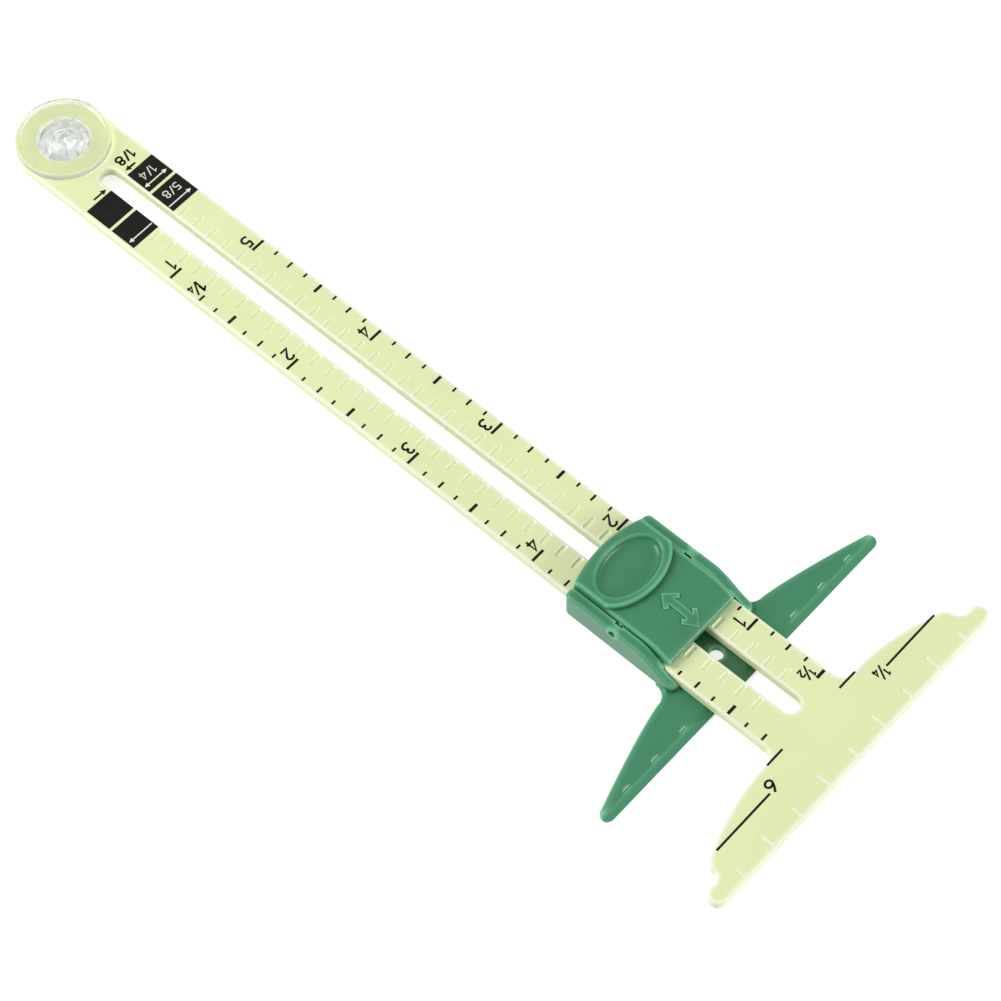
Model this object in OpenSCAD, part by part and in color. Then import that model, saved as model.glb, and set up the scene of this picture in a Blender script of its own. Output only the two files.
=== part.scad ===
// Sliding sewing gauge: a slotted ruler with a T head, a winged slider that a
// sprung thumb lever locks in place, and a clear anchor button for a pin.
// The origin is the axis of the button's pin hole, on the surface that the
// gauge lies on. +X runs along the ruler to the head, +Z is up. The ruler is one
// moulding, held here as four plain solids, so that its slot stays open to contact.

/* [Ruler] */
// Distance from the zero of the lower scale to the head's measuring edge
reach = 158.4; // [140:0.1:200]
// Width across both rails
ruler_w = 15.8; // [15.4:0.1:20]
// Thickness of the ruler and its head
ruler_t = 2; // [1.6:0.1:3]
// Width of the slot between the rails
slot_w = 3.2; // [2.4:0.1:3.6]
// Distance from the pin axis to the near end of the slot
slot_near = 8.8; // [8:0.1:14]
// Distance from the measuring edge back to the far end of the slot
slot_far = 11.4; // [10.5:0.1:20]

/* [Detent grooves] */
// Spacing of the grooves along the rails
groove_pitch = 3.175; // [2.5:0.005:5]
// Distance from the scale zero to the first groove
groove_first = 18; // [16:0.1:30]
// Distance from the measuring edge back to the last groove
groove_last = 16.4; // [12:0.1:30]
// Radius of the round tool that cuts a groove
groove_r = 0.4; // [0.35:0.05:0.8]
// Depth of a groove
groove_d = 0.25; // [0.15:0.05:0.35]
// Length of a groove across the rail
groove_len = 2.5; // [1.5:0.1:4]
// Land between the slot and the start of a groove
groove_land = 0.3; // [0.2:0.1:1]

/* [Head] */
// Overall span of the head
head_span = 63; // [56:0.5:80]
// Depth of the head beside the ruler
head_depth = 9.4; // [8:0.1:10]
// Depth of the head at its shoulders
shoulder_depth = 5.9; // [5:0.1:7]
// Radius of a shoulder
shoulder_r = 1.3; // [0.8:0.1:1.6]
// Radius of the round lobe at each end of the head
lobe_r = 1.5; // [1:0.05:1.8]
// Distance from a lobe's middle to the top of its shoulder
hollow_w = 2.5; // [2.2:0.1:3.5]
// Radius of the fillet where the head meets a rail
head_fillet = 1.8; // [1:0.1:3]
// Spacing of the raised ticks along the measuring edge
tick_pitch = 6.35; // [4:0.05:6.8]
// Number of raised ticks
tick_count = 9; // [5:2:9]
// Width of a raised tick
tick_w = 0.45; // [0.3:0.05:1]
// Height of a raised tick
tick_h = 0.15; // [0.1:0.05:0.4]
// Length of a short raised tick
tick_short = 1.7; // [1:0.1:2.2]
// Length of a long raised tick
tick_long = 2.4; // [2.3:0.1:4]
// Land between the measuring edge and the raised ticks
tick_land = 0.4; // [0.2:0.1:1]

/* [Slider frame] */
// Distance from the head's measuring edge back to the slider's
set_at = 20.9; // [12:0.1:120]
// Distance from the slider's measuring edge back to the pencil hole
pen_inset = 6; // [5:0.1:6.5]
// Radius of the pencil hole
pen_r = 1.15; // [0.5:0.05:1.3]
// Distance from the slider's measuring edge back to the frame's rear end
frame_len = 28; // [27:0.1:28.2]
// Radius of the frame's rear corners, seen from above
rear_corner_r = 1.2; // [0.5:0.1:1.6]
// Thickness of the floor and the wings
floor_t = 1.3; // [1:0.1:2]
// Thickness of a side wall
wall_t = 1.4; // [1.2:0.1:2]
// Height of the side walls above the ruler
wall_rise = 2.3; // [2.2:0.1:2.8]
// Overhang of a wall's lip over the ruler's edge
lip = 0.35; // [0.2:0.05:0.8]
// Distance from the measuring edge back to the front end of the walls
wall_front = 6.5; // [5:0.1:8]
// Height of the front end of the walls above the floor
wall_end = 1.2; // [0.8:0.1:1.8]
// Length over which the walls slope down to their front end
wall_slope = 8; // [5:0.1:9]
// Radius of the top outer edges of the walls
wall_edge_r = 0.4; // [0.2:0.05:0.6]
// Radius of the outer lower edges of the frame
keel_r = 1.1; // [0.4:0.1:1.2]
// Width of the notch that lets a pivot stub in
notch_w = 1; // [0.6:0.1:1.1]
// Depth of the notch into the wall
notch_d = 0.5; // [0.3:0.1:0.8]

/* [Wings] */
// Distance that a wing's tip stops short of the end of the head
wing_inset = 0.3; // [0:0.1:4]
// Depth of a wing at its root
wing_root = 7.2; // [6.6:0.1:9]
// Radius of a wing's tip
wing_tip_r = 1.2; // [0.8:0.05:1.6]
// Radius of the fillet between a wing and its wall
wing_fillet = 2.5; // [1.5:0.1:4]
// Width of the bevel along the measuring edge
bevel_w = 1.7; // [1.2:0.1:2.5]
// Thickness left at the measuring edge
bevel_edge = 0.5; // [0.3:0.05:0.9]
// Spacing of the notches on a wing
mark_pitch = 6.35; // [5:0.05:7]
// Number of notches on a wing
mark_count = 3; // [1:1:3]
// Width of a notch on a wing
mark_w = 1.4; // [0.6:0.05:2]
// Length of a notch on a wing
mark_len = 0.9; // [0.5:0.1:1.1]
// Depth of a notch below the top of the wing
mark_d = 0.5; // [0.2:0.05:0.6]

/* [Thumb lever] */
// Distance from the slider's measuring edge back to the pivot
pivot_back = 18.4; // [18:0.1:19]
// Height of the pivot above the ruler
pivot_rise = 1.5; // [1.3:0.05:1.55]
// Radius of a pivot stub
stub_r = 0.55; // [0.4:0.05:0.6]
// Length of a pivot stub
stub_len = 1.1; // [0.8:0.1:1.6]
// Distance from the measuring edge back to the lever's front edge
lever_front = 9; // [8:0.1:10]
// Distance from the measuring edge back to the middle of the lever's rear edge
lever_rear = 28.95; // [28.5:0.05:30]
// Radius of the curved rear edge, seen from above
rear_r = 21.5; // [16:0.5:60]
// Height of the lever's front edge above the ruler
front_rise = 1.3; // [0.8:0.1:2]
// Length over which the plate curves down to its front edge
front_fall = 4.5; // [3:0.1:6]
// Height of the lever's plate above the ruler
plate_rise = 2.9; // [2.5:0.05:3.2]
// Height of the thumb pad above the plate
pad_step = 0.9; // [0.7:0.05:1.2]
// Distance that the pad reaches in front of the middle of the dimple
pad_a = 5.1; // [4.8:0.05:5.6]
// Half of the width of the pad's rounded front, past the lever's sides
pad_b = 8; // [7.6:0.1:12]
// Space under the lever's front half, above the ruler
under_gap = 0.3; // [0.2:0.05:0.5]
// Height of the underside at the rear edge, above the ruler
rear_gap = 1.45; // [1.35:0.05:1.8]
// Radius that rounds the top of the rear edge
crown_r = 1.2; // [0.5:0.1:1.6]
// Distance from the measuring edge back to the middle of the thumb dimple
dimple_back = 23.3; // [22.8:0.05:23.6]
// Half of the dimple's length along the ruler
dimple_a = 3.85; // [2.5:0.05:4.2]
// Half of the dimple's width across the ruler
dimple_b = 6.1; // [4.4:0.1:6.5]
// Depth of the thumb dimple
dimple_d = 0.8; // [0.3:0.05:0.9]
// Height of the raised arrow
arrow_h = 0.2; // [0.1:0.05:0.4]
// Distance from the measuring edge back to the middle of the arrow
arrow_back = 13.5; // [13.3:0.1:14]
// Length of the raised arrow
arrow_len = 7.5; // [5:0.1:7.6]
// Length of one side of an arrowhead
barb_len = 2.7; // [1.5:0.1:3.2]
// Width of the strokes of the arrowheads
barb_w = 0.7; // [0.4:0.05:1]
// Width of the arrow's shaft
shaft_w = 1.2; // [0.6:0.1:2]
// Distance from the measuring edge back to the detent teeth
tooth_back = 11.5; // [10.5:0.05:14]
// Radius of a detent tooth
tooth_r = 0.35; // [0.3:0.05:0.5]

/* [Return spring] */
// Thickness of the bowed leaf
leaf_t = 0.25; // [0.15:0.05:0.35]
// Width of the bowed leaf
leaf_w = 6; // [4:0.1:8]
// Length of the bowed leaf along the ruler
leaf_len = 6.6; // [5.6:0.1:7.2]
// Plastic left between the spring pocket and the thumb dimple
pocket_roof = 0.6; // [0.4:0.05:0.8]

/* [Anchor button] */
// Radius of the button's disc
button_r = 7.8; // [7:0.1:7.9]
// Height of the disc's rim above the ruler
button_t = 1.5; // [1:0.05:2]
// Width of the raised rim
button_rim = 0.8; // [0.6:0.1:1.5]
// Depth of the dish inside the rim
dish_d = 0.4; // [0.2:0.05:0.6]
// Radius of the hub that turns in the ruler
hub_r = 3.95; // [3.5:0.05:4.5]
// Height of the hub's dome above the rim
dome_rise = 0.5; // [0.2:0.05:0.8]
// Radius of the pin hole
pin_r = 0.65; // [0.3:0.05:0.8]
// Overhang of the snap lip under the ruler
snap_lip = 0.45; // [0.25:0.05:0.8]
// Wall of the tube round the pin hole
core_t = 1.3; // [0.8:0.1:1.5]
// Wall of the split ring that carries the lip
ring_t = 0.9; // [0.6:0.1:1]
// Width of the slots that split the ring
split_w = 0.8; // [0.5:0.1:1.5]

/* [Clearances] */
// Gap above and below the ruler inside the frame
slide_gap = 0.1; // [0.05:0.05:0.2]
// Gap on each side of the ruler inside the frame
side_gap = 0.2; // [0.1:0.05:0.4]
// Gap on each side of the lever between the walls
lever_gap = 0.1; // [0.05:0.05:0.3]
// Gap round a pivot stub
pivot_gap = 0.05; // [0.02:0.01:0.1]
// Gap round the hub, under the disc and above the snap lip
hub_gap = 0.08; // [0.05:0.01:0.15]
// Gap between the ruler and the lever's teeth, and round the spring's ends
touch_gap = 0.05; // [0.02:0.01:0.1]
// Gap between the spring and the ends of its pocket
pocket_gap = 0.4; // [0.3:0.05:0.5]

/* [Hidden] */
$fn = 64;
lime = "#E1EBB8";
green = "#4C9168";
clear = "#E8F2E4";
steel = "#C4C8CC";

// How far a cutter reaches past the face that it cuts
cut = 1;
// Number of straight steps in an outline's curve
steps = 10;
// How much steeper a wing's and the head's rear edge run at their ends
wing_bow = 1.2;
head_bow = 2;
// Angle at which the head's rear edge runs into its shoulder
shoulder_a = 158;
// Angle at which a wing's rear edge runs into its tip
tip_a = 160;
// How much steeper the front of the lever's plate falls at its end
plate_bow = 2;
// Slant of the arrow's barbs from its shaft
barb_a = 42;

half_w = ruler_w / 2;
ruler_z = floor_t + slide_gap;
ruler_top = ruler_z + ruler_t;
head_x = pen_inset + reach;
slider_x = head_x - set_at;
tick_x = head_x - tick_land;
slot_r = slot_w / 2;
slot_end = head_x - slot_far - slot_r;
root_x = head_x - head_depth;
rail_near = slot_near + slot_r;
rail_far = min(slot_end, root_x - head_fillet);

channel_y = half_w + side_gap;
frame_y = channel_y + wall_t;
lip_y = half_w - lip;
wall_top = ruler_top + wall_rise;
frame_x = slider_x - frame_len;
wall_x = slider_x - wall_front;
wing_x = slider_x - wing_root;
wing_span = head_span - 2 * wing_inset;

lever_y = lip_y - lever_gap;
pivot_x = slider_x - pivot_back;
pivot_z = ruler_top + pivot_rise;
plate_z = ruler_top + plate_rise;
pad_z = plate_z + pad_step;
under_z = ruler_top + under_gap;
lever_x = slider_x - lever_rear;
front_x = slider_x - lever_front;
dimple_x = slider_x - dimple_back;
pocket_z = pad_z - dimple_d - pocket_roof;
rail_y = slot_r + groove_land;

button_z = ruler_top + hub_gap;
rim_z = ruler_top + button_t;
dish_z = rim_z - dish_d;
dome_z = rim_z + dome_rise;
lip_top = ruler_z - hub_gap;
lip_r = hub_r + snap_lip;
ring_r = hub_r - ring_t;
core_r = pin_r + core_t;

// Points on an arc about [x, y] from angle a to angle b
function arc(x, y, r, a, b) = oval(x, y, r, r, a, b);

// Points on an ellipse about [x, y] from angle a to angle b
function oval(x, y, rx, ry, a, b) = [
    for (i = [0:steps]) let (t = a + (b - a) * i / steps) [x + rx * cos(t), y + ry * sin(t)]
];

// A curve from p to q whose x and y run by the powers kx and ky
function bow(p, q, kx, ky) = [
    for (i = [0:steps]) let (t = i / steps)
        [p[0] + (q[0] - p[0]) * pow(t, kx), p[1] + (q[1] - p[1]) * pow(t, ky)]
];

// A curve from p to q that is level at both ends
function ramp(p, q) = [
    for (i = [0:steps]) let (t = i / steps)
        [p[0] + (q[0] - p[0]) * t, p[1] + (q[1] - p[1]) * (1 - cos(180 * t)) / 2]
];

function last(v) = v[len(v) - 1];
function reversed(v) = [for (i = [len(v) - 1:-1:0]) v[i]];

// An outline and its mirror image across the gauge's middle, as one
function closed(v) = concat(v, [for (p = reversed(v)) [p[0], -p[1]]]);

// A flat outline in X and Z, drawn out to both sides of the middle by y
module side_view(y) {
    rotate([90, 0, 0]) translate([0, 0, -y]) linear_extrude(2 * y) children();
}

// A flat outline in X and Y, drawn up from z0 to z1
module slab(z0, z1) {
    translate([0, 0, z0]) linear_extrude(z1 - z0) children();
}

// A round bar across the gauge at x and z, from y0 to y1
module bar(x, z, r, y0, y1) {
    translate([x, y1, z]) rotate([90, 0, 0]) cylinder(r = r, h = y1 - y0);
}

module both_sides() {
    children();
    mirror([0, 1, 0]) children();
}

// The head's outline, from the tip of its lobe round to the rail
lobe_y = head_span / 2 - lobe_r;
neck_top = lobe_y - hollow_w;
lobe_x = head_x - lobe_r;
neck_x = head_x - shoulder_depth + shoulder_r;
neck_dx = lobe_x - neck_x;
neck_r = (pow(neck_dx, 2) + pow(hollow_w, 2) - pow(lobe_r, 2)) / (2 * (hollow_w + lobe_r));
neck_a = atan2(hollow_w - neck_r, neck_dx);
root_y = half_w + head_fillet;
shoulder = arc(neck_x, neck_top - shoulder_r, shoulder_r, 90, shoulder_a);
head_side = concat(
    arc(lobe_x, lobe_y, lobe_r, 0, 180 + neck_a),
    arc(neck_x, neck_top + neck_r, neck_r, neck_a, -90),
    shoulder,
    reversed(bow([root_x, root_y], last(shoulder), head_bow, 1)),
    arc(root_x - head_fillet, root_y, head_fillet, 0, -90)
);

module slot_outline() {
    translate([rail_near, -slot_r]) square([slot_end - rail_near, slot_w]);
    for (x = [rail_near, slot_end]) translate([x, 0]) circle(r = slot_r);
}

// The ruler's round end, back to where the rails run straight
module ruler_tail() {
    color(lime) slab(ruler_z, ruler_top) difference() {
        union() {
            circle(r = half_w);
            translate([0, -half_w]) square([rail_near, ruler_w]);
        }
        circle(r = hub_r + hub_gap);
        slot_outline();
    }
}

module grooves() {
    end = min(head_x - groove_last, rail_far - groove_r);
    for (x = [pen_inset + groove_first:groove_pitch:end])
        bar(x, ruler_top + groove_r - groove_d, groove_r, rail_y, rail_y + groove_len);
}

// The rail on the +Y side
module left_rail() {
    color(lime) difference() {
        slab(ruler_z, ruler_top) translate([rail_near, slot_r])
            square([rail_far - rail_near, half_w - slot_r]);
        grooves();
    }
}

module right_rail() {
    mirror([0, 1, 0]) left_rail();
}

module ticks() {
    n = (tick_count - 1) / 2;
    for (i = [-n:n]) {
        long = abs(i) % 2 == 1 ? tick_long : tick_short;
        translate([tick_x - long, i * tick_pitch - tick_w / 2, ruler_top - tick_h])
            cube([long, tick_w, 2 * tick_h]);
    }
}

module ruler_head() {
    color(lime) {
        slab(ruler_z, ruler_top) difference() {
            union() {
                translate([rail_far, -half_w]) square([root_x - rail_far, ruler_w]);
                polygon(closed(head_side));
            }
            slot_outline();
        }
        ticks();
    }
}

// The frame's cross-section, as height and Y: floor, wall and the lip over the ruler
frame_section = concat(
    arc(keel_r, frame_y - keel_r, keel_r, 180, 90),
    arc(wall_top - wall_edge_r, frame_y - wall_edge_r, wall_edge_r, 90, 0),
    [
        [wall_top, lip_y],
        [ruler_top + slide_gap, lip_y],
        [ruler_top + slide_gap, channel_y],
        [floor_t, channel_y]
    ]
);

// The walls from the side: level, then falling to their low front end
wall_side = concat(
    [[frame_x, 0], [wall_x, 0]],
    reversed(ramp([wall_x - wall_slope, wall_top], [wall_x, floor_t + wall_end])),
    arc(frame_x + rear_corner_r, wall_top - rear_corner_r, rear_corner_r, 90, 180)
);

// One wing's outline, from the middle of the frame out to its tip
wing_tip = arc(slider_x - wing_tip_r, wing_span / 2 - wing_tip_r, wing_tip_r, tip_a, 0);
wing_side = concat(
    [[wing_x - wing_fillet - keel_r, 0], [wing_x - wing_fillet - keel_r, frame_y - keel_r]],
    arc(wing_x - wing_fillet, frame_y + wing_fillet, wing_fillet, -90, 0),
    bow([wing_x, frame_y + wing_fillet], wing_tip[0], wing_bow, 1),
    wing_tip,
    [[slider_x, 0]]
);

module channel() {
    len = wall_x + cut - frame_x;
    intersection() {
        translate([frame_x + len, 0, 0]) rotate([0, -90, 0]) linear_extrude(len)
            polygon(closed(frame_section));
        side_view(frame_y + cut) polygon(wall_side);
        slab(-cut, wall_top + cut) {
            y = frame_y - rear_corner_r;
            translate([frame_x + rear_corner_r, -frame_y - cut]) square([len, 2 * (frame_y + cut)]);
            translate([frame_x, -y]) square([len, 2 * y]);
            both_sides() translate([frame_x + rear_corner_r, y]) circle(r = rear_corner_r);
        }
    }
}

module bevel_cutter() {
    side_view(wing_span / 2 + cut) polygon([
        [slider_x - bevel_w, floor_t],
        [slider_x + cut, bevel_edge - cut * (floor_t - bevel_edge) / bevel_w],
        [slider_x + cut, floor_t + cut],
        [slider_x - bevel_w, floor_t + cut]
    ]);
}

module wing_notches() {
    both_sides() for (i = [0:mark_count - 1])
        translate([slider_x - bevel_w, (i + 2) * mark_pitch - mark_w / 2, floor_t - mark_d])
            cube([mark_len, mark_w, mark_d + cut]);
}

module slider_frame() {
    color(green) difference() {
        union() {
            channel();
            difference() {
                slab(0, floor_t) both_sides() polygon(wing_side);
                bevel_cutter();
            }
        }
        wing_notches();
        translate([slider_x - pen_inset, 0, -cut]) cylinder(r = pen_r, h = floor_t + 2 * cut);
        bar(pivot_x, pivot_z, stub_r + pivot_gap, -frame_y - cut, frame_y + cut);
        both_sides() translate([pivot_x - notch_w / 2, lip_y - cut, pivot_z])
            cube([notch_w, cut + notch_d, wall_rise]);
    }
}

// The lever's plate from the side, raised by dz
module plate_side(dz) {
    translate([0, dz]) polygon(concat(
        [
            [front_x, under_z],
            [pivot_x, under_z],
            [lever_x, ruler_top + rear_gap],
            [lever_x - cut, ruler_top + rear_gap],
            [lever_x - cut, plate_z]
        ],
        bow([front_x - front_fall, plate_z], [front_x, ruler_top + front_rise], 1, plate_bow)
    ));
}

// The thumb pad from above: straight sides and a rounded front
module pad_outline() {
    a = asin(lever_y / pad_b);
    front = oval(dimple_x, 0, pad_a, pad_b, a, 0);
    polygon(closed(concat([[lever_x - cut, lever_y]], front)));
}

// A round disc as large as the curve of the lever's rear edge, rounded on top
module crown() {
    translate([lever_x + rear_r, 0, 0]) rotate_extrude() polygon(concat(
        [[0, 0], [rear_r, 0]],
        arc(rear_r - crown_r, pad_z - crown_r, crown_r, 0, 90),
        [[0, pad_z]]
    ));
}

// A ring-shaped cutter that leaves an oval dish
module dimple_cutter() {
    rx = (pow(dimple_a, 2) + pow(dimple_d, 2)) / (2 * dimple_d);
    ry = (pow(dimple_b, 2) + pow(dimple_d, 2)) / (2 * dimple_d);
    translate([dimple_x, 0, pad_z - dimple_d + ry]) rotate([0, 90, 0]) rotate_extrude()
        intersection() {
            translate([ry - rx, 0]) circle(r = rx);
            translate([0, -rx]) square([ry, 2 * rx]);
        }
}

module arrowhead() {
    out = [-barb_len * cos(barb_a), barb_len * sin(barb_a)];
    in = [out[0] - barb_w * sin(barb_a), out[1] - barb_w * cos(barb_a)];
    polygon(closed([[0, 0], out, in, [-barb_w / sin(barb_a), 0]]));
}

module arrow_outline() {
    translate([slider_x - arrow_back, 0]) {
        for (m = [0, 1]) mirror([m, 0]) translate([arrow_len / 2, 0]) arrowhead();
        translate([barb_w - arrow_len / 2, -shaft_w / 2]) square([arrow_len - 2 * barb_w, shaft_w]);
    }
}

module raised_arrow() {
    intersection() {
        slab(under_z, pad_z) arrow_outline();
        side_view(lever_y) plate_side(arrow_h);
    }
}

module thumb_lever() {
    color(green) {
        difference() {
            intersection() {
                union() {
                    side_view(lever_y) plate_side(0);
                    slab(plate_z - pad_step, pad_z) pad_outline();
                }
                crown();
            }
            dimple_cutter();
            translate([dimple_x - leaf_len / 2 - pocket_gap, -leaf_w / 2 - pocket_gap, ruler_top])
                cube([leaf_len + 2 * pocket_gap, leaf_w + 2 * pocket_gap, pocket_z - ruler_top]);
        }
        raised_arrow();
        both_sides() {
            bar(pivot_x, pivot_z, stub_r, lever_y - stub_len, lever_y + stub_len);
            bar(slider_x - tooth_back, ruler_top + touch_gap + tooth_r, tooth_r,
                rail_y, rail_y + groove_len);
        }
    }
}

module return_spring() {
    z = ruler_top + touch_gap;
    rise = pocket_z - touch_gap - z;
    r = (pow(leaf_len / 2, 2) + pow(rise, 2)) / (2 * rise);
    color(steel) difference() {
        bar(dimple_x, z + rise - r, r, -leaf_w / 2, leaf_w / 2);
        bar(dimple_x, z + rise - r, r - leaf_t, -leaf_w / 2 - cut, leaf_w / 2 + cut);
        translate([dimple_x - r - cut, -leaf_w / 2 - cut, z - 2 * r])
            cube([2 * (r + cut), leaf_w + 2 * cut, 2 * r]);
    }
}

// The button's profile, as radius and height
button_side = concat(
    [
        [pin_r, 0],
        [core_r, 0],
        [core_r, button_z],
        [ring_r, button_z],
        [ring_r, 0],
        [hub_r, 0],
        [lip_r, lip_top / 2],
        [lip_r, lip_top],
        [hub_r, lip_top],
        [hub_r, button_z],
        [button_r, button_z]
    ],
    arc(button_r - dish_d, rim_z - dish_d, dish_d, 0, 90),
    [[button_r - button_rim, rim_z], [button_r - button_rim - dish_d / 2, dish_z]],
    oval(pin_r, dish_z, hub_r - pin_r, dome_z - dish_z, 0, 90)
);

// Slots that split the ring into springy legs
module ring_slots() {
    difference() {
        for (a = [0, 90]) rotate([0, 0, a])
            translate([-lip_r - cut, -split_w / 2, -cut]) cube([2 * (lip_r + cut), split_w, cut + button_z]);
        translate([0, 0, -2 * cut]) cylinder(r = core_r, h = button_z + 3 * cut);
    }
}

module anchor_button() {
    color(clear) difference() {
        rotate_extrude() polygon(button_side);
        ring_slots();
    }
}

ruler_tail();
left_rail();
right_rail();
ruler_head();
slider_frame();
thumb_lever();
return_spring();
anchor_button();
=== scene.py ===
from math import asin, atan2, cos, degrees, pi, radians, sin

import bmesh
import bpy
from bpy.props import FloatProperty, FloatVectorProperty, IntProperty, PointerProperty
from bpy.types import NodeSocket, Operator, Panel, PropertyGroup
from mathutils import Matrix, Vector


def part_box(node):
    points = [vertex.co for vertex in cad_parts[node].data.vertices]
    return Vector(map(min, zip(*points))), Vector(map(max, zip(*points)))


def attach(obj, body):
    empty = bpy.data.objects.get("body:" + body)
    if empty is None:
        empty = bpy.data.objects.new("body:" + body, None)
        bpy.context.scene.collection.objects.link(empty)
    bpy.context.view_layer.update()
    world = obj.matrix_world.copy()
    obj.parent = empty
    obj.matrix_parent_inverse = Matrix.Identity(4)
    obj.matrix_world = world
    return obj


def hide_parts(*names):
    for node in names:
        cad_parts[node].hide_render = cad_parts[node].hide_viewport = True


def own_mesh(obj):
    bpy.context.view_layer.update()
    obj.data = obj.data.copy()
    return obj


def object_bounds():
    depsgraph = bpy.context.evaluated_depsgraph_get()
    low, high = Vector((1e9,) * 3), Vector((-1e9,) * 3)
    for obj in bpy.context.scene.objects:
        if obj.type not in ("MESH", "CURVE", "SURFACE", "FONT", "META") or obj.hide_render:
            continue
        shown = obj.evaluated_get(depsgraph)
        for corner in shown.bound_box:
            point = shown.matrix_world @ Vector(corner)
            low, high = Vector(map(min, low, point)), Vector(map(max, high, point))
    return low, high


bl_info = {
    "name": "Sewing Gauge",
    "version": (1, 0, 0),
    "blender": (4, 5, 0),
    "location": "View3D > Sidebar > Gauge",
    "description": "Dresses the packed frame of a sliding sewing gauge",
    "category": "Object",
}

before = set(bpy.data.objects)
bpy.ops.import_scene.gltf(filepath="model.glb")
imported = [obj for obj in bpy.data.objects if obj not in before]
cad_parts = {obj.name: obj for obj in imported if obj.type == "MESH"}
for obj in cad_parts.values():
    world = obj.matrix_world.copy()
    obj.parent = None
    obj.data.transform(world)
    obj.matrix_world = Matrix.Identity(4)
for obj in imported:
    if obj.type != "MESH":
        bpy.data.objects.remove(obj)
CAD_LOW, CAD_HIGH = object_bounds()
TAIL_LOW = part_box("ruler_tail")[0]
HEAD_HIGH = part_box("ruler_head")[1]
FRAME_LOW, FRAME_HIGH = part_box("slider_frame")
LEVER_LOW, LEVER_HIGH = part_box("thumb_lever")
SPRING_LOW, SPRING_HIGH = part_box("return_spring")
BUTTON_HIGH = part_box("anchor_button")[1]

MM = 0.001
INCH = 25.4 * MM

# How far a cutter reaches past what it cuts
PAST = MM
# Points closer than this are one point, in an outline and in a mesh
SAME_POINT, SAME_VERTEX = 1e-6, 1e-7
# From this share of its length along an axis, a normal counts as lying along it
FLAT = 0.9
# Largest angle between two faces that are shaded as one
SMOOTH_ANGLE = radians(32)


# Settings

def length(name, text, value):
    """A length property, with its default in millimetres."""
    return FloatProperty(name=name, description=text, default=value * MM, min=0, precision=5,
                         subtype="DISTANCE", unit="LENGTH")


def paint(name, text, red, green, blue):
    """A colour property, with its default as seen on a screen, 0 to 255."""
    seen = [channel / 255 for channel in (red, green, blue)]
    return FloatVectorProperty(
        name=name, description=text, subtype="COLOR", size=3, min=0, max=1,
        default=[c / 12.92 if c <= 0.04045 else ((c + 0.055) / 1.055) ** 2.4 for c in seen])


class RulerSettings(PropertyGroup):
    thickness: length("Thickness", "Thickness of the ruler and its head", 2)
    edge_round: length("Edge rounding", "Radius along the ruler's edges", 0.32)
    hole_r: length("Button hole", "Radius of the hole that the button turns in", 4.03)
    slot_w: length("Slot width", "Width of the slot between the rails", 3.2)
    slot_near: length("Slot start", "Distance from the pin axis to the slot", 8.8)
    slot_far: length("Slot end", "Distance from the measuring edge back to the slot", 11.4)
    head_depth: length("Head depth", "Depth of the head beside the ruler", 9.4)
    head_fillet: length("Head fillet", "Radius where the head meets a rail", 1.8)
    shoulder_depth: length("Shoulder depth", "Depth of the head at its shoulders", 5.9)
    shoulder_r: length("Shoulder radius", "Radius of a shoulder of the head", 1.3)
    lobe_r: length("Lobe radius", "Radius of the lobe at each end of the head", 1.5)
    hollow_w: length("Hollow width", "From a lobe's middle to the top of its shoulder", 2.5)
    groove_count: IntProperty(name="Grooves", description="Detent grooves on each rail",
                              default=40, min=1)
    groove_start: length("First groove", "Distance from the pin axis to the first groove", 24)
    groove_pitch: length("Groove spacing", "Spacing of the detent grooves", 3.175)
    groove_len: length("Groove length", "Length of a groove across its rail", 2.5)
    groove_r: length("Groove radius", "Radius of the tool that sinks a groove", 0.5)
    groove_d: length("Groove depth", "Depth of a groove", 0.17)
    groove_lip: length("Groove lip", "Height of the lip behind a groove", 0.05)
    tick_pitch: length("Tick spacing", "Spacing of the raised ticks on the head", 6.35)
    tick_short: length("Short tick", "Length of a short raised tick", 1.7)
    tick_long: length("Long tick", "Length of a long raised tick", 2.4)
    tick_w: length("Tick width", "Width of a raised tick", 0.45)
    tick_land: length("Tick land", "Distance from the measuring edge to the ticks", 0.4)


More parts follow.
